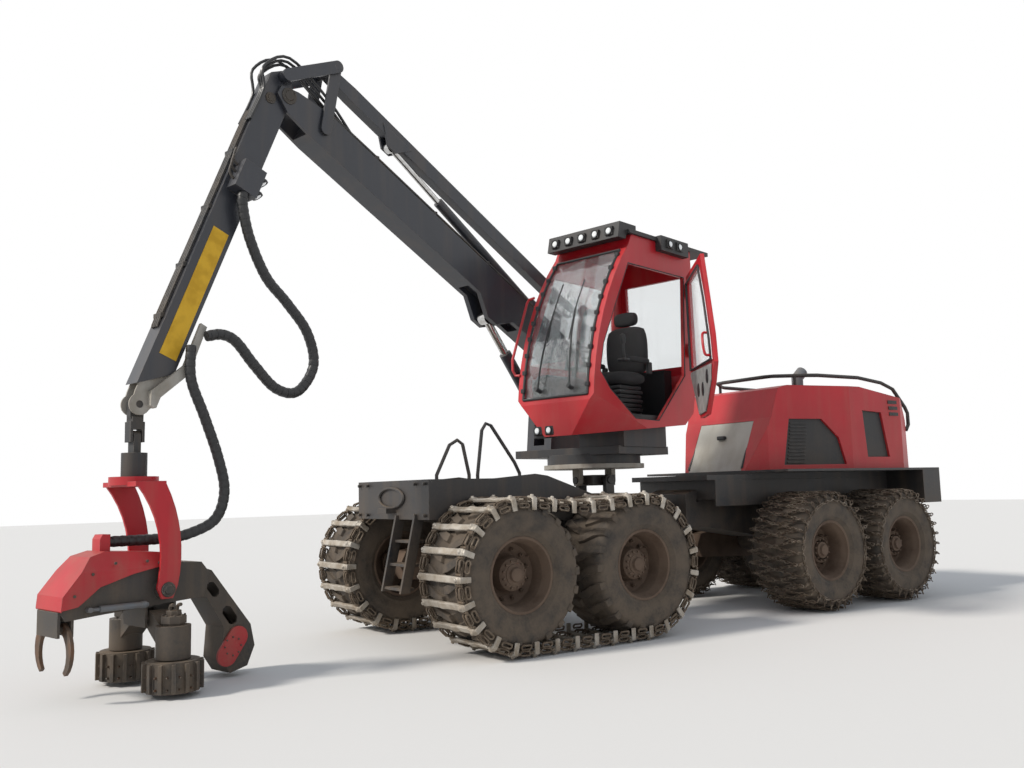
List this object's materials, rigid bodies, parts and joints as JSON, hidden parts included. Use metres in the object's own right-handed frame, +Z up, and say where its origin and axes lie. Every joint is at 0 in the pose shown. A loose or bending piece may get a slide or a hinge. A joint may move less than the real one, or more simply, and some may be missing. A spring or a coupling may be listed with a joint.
{
  "type": "forestry harvester",
  "caption": "Forestry harvester with tracked front bogies, a turning cab, a parallel crane and a hanging felling head; wheels, frames, crane, door and head move.",
  "frame": {"origin": "on the ground under the slewing axis of cab and crane", "axes": "forward is -Y, the machine's left is +X, up is +Z"},
  "size_m": [3.6482, 11.1848, 5.7422],
  "materials": {
    "frame_black": "satin, worn and dusty",
    "frame_brown": "matt, muddy",
    "body_red": "satin, faded and dusty",
    "body_pale": "satin, dirty",
    "crane_black": "satin, worn",
    "head_grey": "matt, scraped and muddy",
    "steel_worn": "scraped, rusty",
    "chrome": "polished",
    "tyre": "matt, muddy",
    "rim": "matt, muddy",
    "glass": "clear, dusty",
    "plastic_black": "matt",
    "seat_cloth": "woven",
    "hose": "matt"
  },
  "bodies": {
    "front": {"front_frame": "frame_black", "slew_base": "frame_black", "front_deck": "frame_black"},
    "bogie_front_left": {"bogie_front_left": "rim", "tyres_front_left": "tyre", "track_left": "steel_worn"},
    "bogie_front_right": {"bogie_front_right": "rim", "tyres_front_right": "tyre", "track_right": "steel_worn"},
    "knuckle": {"knuckle": "frame_black"},
    "rear": {"rear_frame": "frame_black", "rear_deck": "frame_black", "tail_box": "frame_black", "hood": "body_red", "hood_front": "body_pale", "hood_sides": "frame_black", "hood_rail": "frame_black", "exhaust": "steel_worn", "engine": "head_grey"},
    "bogie_rear_left": {"bogie_rear_left": "rim"},
    "bogie_rear_right": {"bogie_rear_right": "rim"},
    "wheel_3_left": {"wheel_3_left": "tyre"},
    "wheel_4_left": {"wheel_4_left": "tyre"},
    "wheel_3_right": {"wheel_3_right": "tyre"},
    "wheel_4_right": {"wheel_4_right": "tyre"},
    "cross": {"level_cross": "frame_black"},
    "table": {"level_table": "head_grey"},
    "upper": {"turntable": "frame_black", "pillar": "crane_black", "cab_shell": "body_red", "cab_glass": "glass", "cab_inside": "plastic_black", "seat": "seat_cloth", "roof_lamps": "plastic_black"},
    "door": {"door": "body_red", "door_glass": "glass"},
    "boom": {"boom": "crane_black"},
    "lift_barrel": {"lift_barrel": "crane_black"},
    "lift_rod": {"lift_rod": "chrome"},
    "lever": {"lever": "crane_black"},
    "upper_rod": {"upper_rod": "crane_black"},
    "rocker": {"rocker": "crane_black"},
    "top_link": {"top_link": "crane_black"},
    "stick_barrel": {"stick_barrel": "crane_black"},
    "stick_rod": {"stick_rod": "chrome"},
    "stick": {"stick": "crane_black", "hose_loop": "hose"},
    "extension": {"extension": "body_pale", "hose_head": "hose"},
    "tip_link": {"tip_link": "crane_black"},
    "rotator": {"rotator": "crane_black"},
    "yoke": {"yoke": "body_red"},
    "head": {"head": "head_grey", "head_cover": "body_red"},
    "knife_left": {"knife_left": "steel_worn"},
    "knife_right": {"knife_right": "steel_worn"},
    "feed_arm_left": {"feed_arm_left": "crane_black"},
    "feed_arm_right": {"feed_arm_right": "crane_black"},
    "roller_left": {"roller_left": "steel_worn"},
    "roller_right": {"roller_right": "steel_worn"}
  },
  "joints": [
    {"name": "frame_steer", "type": "hinge", "parent": "front", "child": "knuckle", "pos_m": [0, 0.88, 1.195], "axis": [0, 0, 1], "range_deg": [-40, 40]},
    {"name": "frame_roll", "type": "hinge", "parent": "knuckle", "child": "rear", "pos_m": [0, 0.88, 1.195], "axis": [0, 1, 0], "range_deg": [-15, 15]},
    {"name": "bogie_swing_front_left", "type": "hinge", "parent": "front", "child": "bogie_front_left", "pos_m": [1.12, -1.335, 0.792], "axis": [1, 0, 0], "range_deg": [-15, 15]},
    {"name": "bogie_swing_front_right", "type": "hinge", "parent": "front", "child": "bogie_front_right", "pos_m": [-1.12, -1.335, 0.792], "axis": [1, 0, 0], "range_deg": [-15, 15]},
    {"name": "bogie_swing_rear_left", "type": "hinge", "parent": "rear", "child": "bogie_rear_left", "pos_m": [1.12, 3.14, 0.765], "axis": [1, 0, 0], "range_deg": [-15, 15]},
    {"name": "bogie_swing_rear_right", "type": "hinge", "parent": "rear", "child": "bogie_rear_right", "pos_m": [-1.12, 3.14, 0.765], "axis": [1, 0, 0], "range_deg": [-15, 15]},
    {"name": "wheel_3_left_spin", "type": "hinge", "parent": "bogie_rear_left", "child": "wheel_3_left", "pos_m": [1.12, 2.39, 0.705], "axis": [1, 0, 0], "continuous": true},
    {"name": "wheel_3_right_spin", "type": "hinge", "parent": "bogie_rear_right", "child": "wheel_3_right", "pos_m": [-1.12, 2.39, 0.705], "axis": [1, 0, 0], "continuous": true},
    {"name": "wheel_4_left_spin", "type": "hinge", "parent": "bogie_rear_left", "child": "wheel_4_left", "pos_m": [1.12, 3.89, 0.705], "axis": [1, 0, 0], "continuous": true},
    {"name": "wheel_4_right_spin", "type": "hinge", "parent": "bogie_rear_right", "child": "wheel_4_right", "pos_m": [-1.12, 3.89, 0.705], "axis": [1, 0, 0], "continuous": true},
    {"name": "level_pitch", "type": "hinge", "parent": "front", "child": "cross", "pos_m": [0, 0, 1.59], "axis": [-1, 0, 0], "range_deg": [-12, 12]},
    {"name": "level_roll", "type": "hinge", "parent": "cross", "child": "table", "pos_m": [0, 0, 1.59], "axis": [0, -1, 0], "range_deg": [-10, 10]},
    {"name": "slew", "type": "hinge", "parent": "table", "child": "upper", "pos_m": [0, 0, 1.75], "axis": [0, 0, 1], "range_deg": [-140, 140]},
    {"name": "door_swing", "type": "hinge", "parent": "upper", "child": "door", "pos_m": [0.82063, 0.82873, 3.1], "axis": [0, 0, 1], "range_deg": [-40, 55]},
    {"name": "boom_lift", "type": "hinge", "parent": "upper", "child": "boom", "pos_m": [-0.66883, 0.16454, 3.05], "axis": [-0.9781, -0.2079, 0], "range_deg": [-25, 45]},
    {"name": "lift_barrel_swing", "type": "hinge", "parent": "upper", "child": "lift_barrel", "pos_m": [-0.59606, -0.17781, 2.15], "axis": [-0.9781, -0.2079, 0], "range_deg": [-18, 31]},
    {"name": "lift_rod_slide", "type": "slide", "parent": "lift_barrel", "child": "lift_rod", "axis": [0.1317, -0.6194, 0.7739], "range_m": [-0.34, 0.61]},
    {"name": "stick_fold", "type": "hinge", "parent": "boom", "child": "stick", "pos_m": [0.19374, -3.89349, 5.23735], "axis": [0.9781, 0.2079, 0], "range_deg": [-70, 15]},
    {"name": "lever_swing", "type": "hinge", "parent": "boom", "child": "lever", "pos_m": [-0.66883, 0.16454, 3.05], "axis": [0.9781, 0.2079, 0], "range_deg": [-20, 5]},
    {"name": "rocker_swing", "type": "hinge", "parent": "boom", "child": "rocker", "pos_m": [0.10913, -3.49547, 5.02282], "axis": [0.9781, 0.2079, 0], "range_deg": [-20, 5]},
    {"name": "upper_rod_swing", "type": "hinge", "parent": "lever", "child": "upper_rod", "pos_m": [-0.6941, 0.28345, 3.70941], "axis": [0.9781, 0.2079, 0], "range_deg": [-5, 20]},
    {"name": "top_link_swing", "type": "hinge", "parent": "rocker", "child": "top_link", "pos_m": [0.08386, -3.37656, 5.68222], "axis": [0.9781, 0.2079, 0], "range_deg": [-5, 20]},
    {"name": "stick_barrel_swing", "type": "hinge", "parent": "boom", "child": "stick_barrel", "pos_m": [-0.529, -0.49329, 3.70416], "axis": [0.9781, 0.2079, 0], "range_deg": [-2, 1]},
    {"name": "stick_rod_slide", "type": "slide", "parent": "stick_barrel", "child": "stick_rod", "axis": [0.1734, -0.8156, 0.5521], "range_m": [-0.22, 0.05]},
    {"name": "extension_slide", "type": "slide", "parent": "stick", "child": "extension", "axis": [0.0789, -0.3712, -0.9252], "range_m": [0, 1.7], "deforming": ["hose_loop"]},
    {"name": "link_swing", "type": "hinge", "parent": "extension", "child": "tip_link", "pos_m": [0.47672, -5.22484, 2.26125], "axis": [-0.9781, -0.2079, 0], "range_deg": [-115, 60], "deforming": ["hose_head"]},
    {"name": "cross_swing", "type": "hinge", "parent": "tip_link", "child": "rotator", "pos_m": [0.47672, -5.22484, 2.00125], "axis": [0.2079, -0.9781, 0], "range_deg": [-40, 40]},
    {"name": "rotator_spin", "type": "hinge", "parent": "rotator", "child": "yoke", "pos_m": [0.47672, -5.22484, 1.68], "axis": [0, 0, 1], "continuous": true},
    {"name": "head_tilt", "type": "hinge", "parent": "yoke", "child": "head", "pos_m": [0.44346, -5.06834, 0.79005], "axis": [-0.9781, -0.2079, 0], "range_deg": [-15, 90]},
    {"name": "knife_left_swing", "type": "hinge", "parent": "head", "child": "knife_left", "pos_m": [0.70845, -5.73787, 0.56005], "axis": [-0.2079, 0.9781, 0], "range_deg": [-35, 15]},
    {"name": "knife_right_swing", "type": "hinge", "parent": "head", "child": "knife_right", "pos_m": [0.4737, -5.78777, 0.56005], "axis": [0.2079, -0.9781, 0], "range_deg": [-35, 15]},
    {"name": "feed_arm_left_swing", "type": "hinge", "parent": "head", "child": "feed_arm_left", "pos_m": [0.59226, -5.04693, 0.57005], "axis": [-0.2079, 0.9781, 0], "range_deg": [-35, 12]},
    {"name": "feed_arm_right_swing", "type": "hinge", "parent": "head", "child": "feed_arm_right", "pos_m": [0.29881, -5.10931, 0.57005], "axis": [0.2079, -0.9781, 0], "range_deg": [-35, 12]},
    {"name": "roller_left_spin", "type": "hinge", "parent": "feed_arm_left", "child": "roller_left", "pos_m": [0.8368, -4.99496, 0.20005], "axis": [0, 0, 1], "continuous": true},
    {"name": "roller_right_spin", "type": "hinge", "parent": "feed_arm_right", "child": "roller_right", "pos_m": [0.05428, -5.16129, 0.20005], "axis": [0, 0, 1], "continuous": true}
  ],
  "couplings": [
    {"joint": "lift_barrel_swing", "follows": "boom_lift", "ratio": 0.6859},
    {"joint": "lift_rod_slide", "follows": "boom_lift", "m_per_rad": 0.7692},
    {"joint": "lever_swing", "follows": "stick_fold", "ratio": 0.2758},
    {"joint": "rocker_swing", "follows": "stick_fold", "ratio": 0.2758},
    {"joint": "upper_rod_swing", "follows": "stick_fold", "ratio": -0.2758},
    {"joint": "top_link_swing", "follows": "stick_fold", "ratio": -0.2541},
    {"joint": "stick_barrel_swing", "follows": "stick_fold", "ratio": 0.0205},
    {"joint": "stick_rod_slide", "follows": "stick_fold", "m_per_rad": 0.1768}
  ]
}
